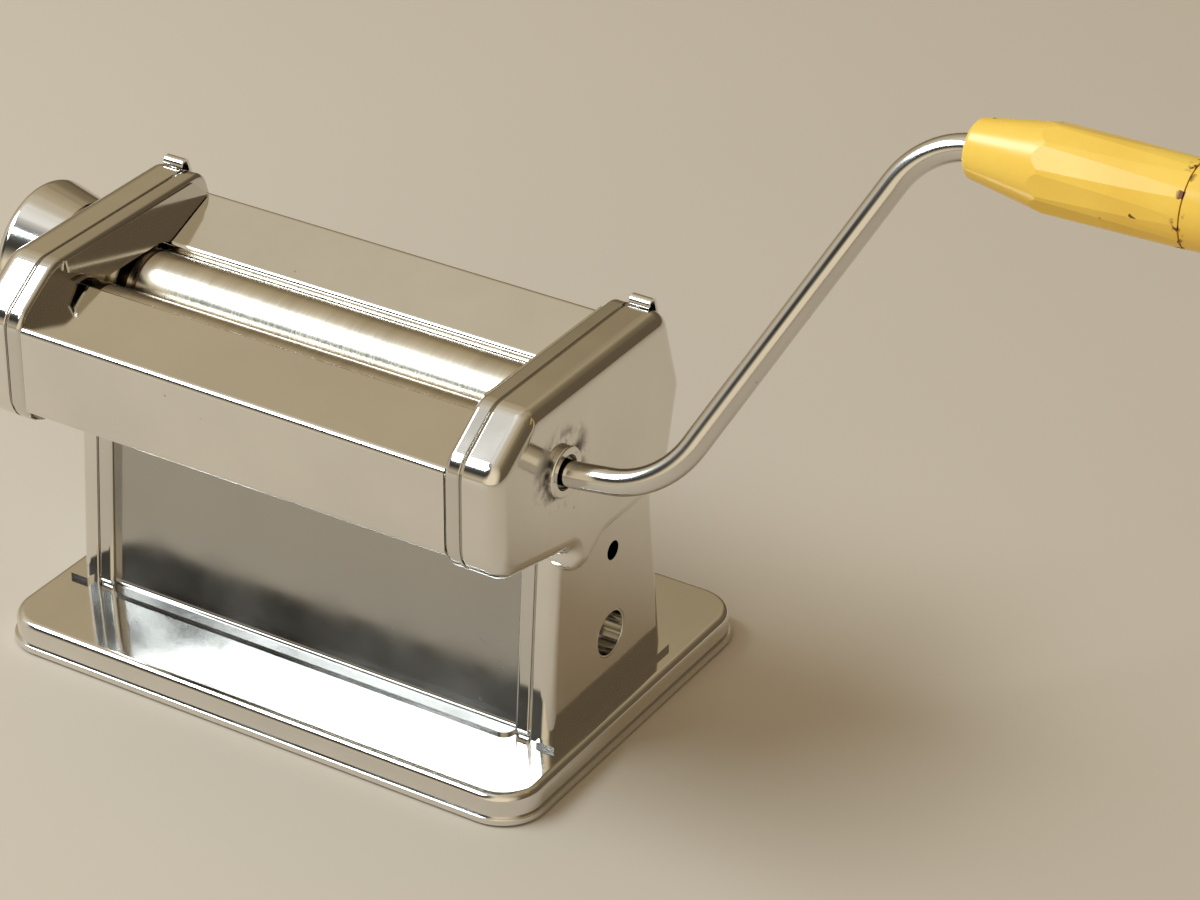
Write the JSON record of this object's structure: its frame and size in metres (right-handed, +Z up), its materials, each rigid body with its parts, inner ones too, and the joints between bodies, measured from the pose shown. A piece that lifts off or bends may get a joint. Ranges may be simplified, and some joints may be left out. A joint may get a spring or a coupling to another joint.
{
  "type": "dough sheet roller",
  "caption": "Tabletop sheet roller for dough: paired rollers between pressed side housings on a tray base, with an offset hand crank and a gap knob.",
  "frame": {"origin": "on the ground, under the middle of the base tray", "axes": "+X from the middle towards the crank, +Y from the front to the back, +Z up"},
  "size_m": [0.4077, 0.1413, 0.2318],
  "materials": {
    "chromed_steel": "polished",
    "roller_steel": "brushed",
    "plain_steel": "satin",
    "bearing_bronze": "satin",
    "yellow_plastic": "glossy",
    "black_rubber": "matte"
  },
  "bodies": {
    "frame": {"base_tray": "chromed_steel", "rubber_feet": "black_rubber", "side_plate_left": "chromed_steel", "side_plate_right": "chromed_steel", "side_cover_left": "chromed_steel", "side_cover_right": "chromed_steel", "front_cover": "chromed_steel", "rear_cover": "chromed_steel", "dough_chute": "chromed_steel", "cheek_left": "chromed_steel", "cheek_right": "chromed_steel", "rail_left": "chromed_steel", "rail_right": "chromed_steel", "tie_rod_front": "plain_steel", "tie_rod_rear": "plain_steel", "tie_rod_lower": "plain_steel", "tie_rod_nuts": "plain_steel", "scraper_front": "plain_steel", "scraper_rear": "plain_steel", "base_screws": "plain_steel", "base_nuts": "plain_steel", "clamp_socket": "chromed_steel", "front_bush_left": "bearing_bronze", "front_bush_right": "bearing_bronze", "axle_bracket": "plain_steel", "crank_bushing": "chromed_steel", "shaft_bush": "bearing_bronze", "setting_plate": "chromed_steel"},
    "drive": {"front_roller": "roller_steel", "drive_gear": "plain_steel", "crank_rod": "chromed_steel", "grip_washer": "plain_steel"},
    "handle": {"handle_grip": "yellow_plastic", "handle_cap": "yellow_plastic"},
    "carriage": {"slide_bush_left": "bearing_bronze", "slide_bush_right": "bearing_bronze"},
    "driven": {"rear_roller": "roller_steel", "driven_gear": "plain_steel"},
    "setting": {"adjust_shaft": "plain_steel", "spring_retainer": "plain_steel"},
    "knob": {"knob_shell": "chromed_steel", "knob_hub": "plain_steel", "knob_pin": "plain_steel", "knob_spring": "plain_steel"}
  },
  "joints": [
    {"name": "crank_turn", "type": "hinge", "parent": "frame", "child": "drive", "pos_m": [0, -0.0388, 0.1118], "axis": [1, 0, 0], "continuous": true},
    {"name": "handle_spin", "type": "hinge", "parent": "drive", "child": "handle", "pos_m": [0.181, 0.01801, 0.21864], "axis": [1, 0.0034, 0.0065], "continuous": true},
    {"name": "gap_setting", "type": "hinge", "parent": "frame", "child": "setting", "pos_m": [0, -0.01315, 0.11115], "axis": [1, 0, 0], "range_deg": [0, 132]},
    {"name": "roller_gap", "type": "slide", "parent": "frame", "child": "carriage", "axis": [0, -1, 0], "range_m": [0, 0.0017]},
    {"name": "rear_roller_spin", "type": "hinge", "parent": "carriage", "child": "driven", "pos_m": [0, -0.0123, 0.1118], "axis": [1, 0, 0], "continuous": true},
    {"name": "knob_pull", "type": "slide", "parent": "setting", "child": "knob", "axis": [-1, 0, 0], "range_m": [0, 0.005], "stiffness_N_per_m": 600, "springref_m": -0.003, "deforming": ["knob_spring"]}
  ],
  "couplings": [
    {"joint": "rear_roller_spin", "follows": "crank_turn", "ratio": -1},
    {"joint": "gap_setting", "follows": "roller_gap", "rad_per_m": 1355.2}
  ]
}
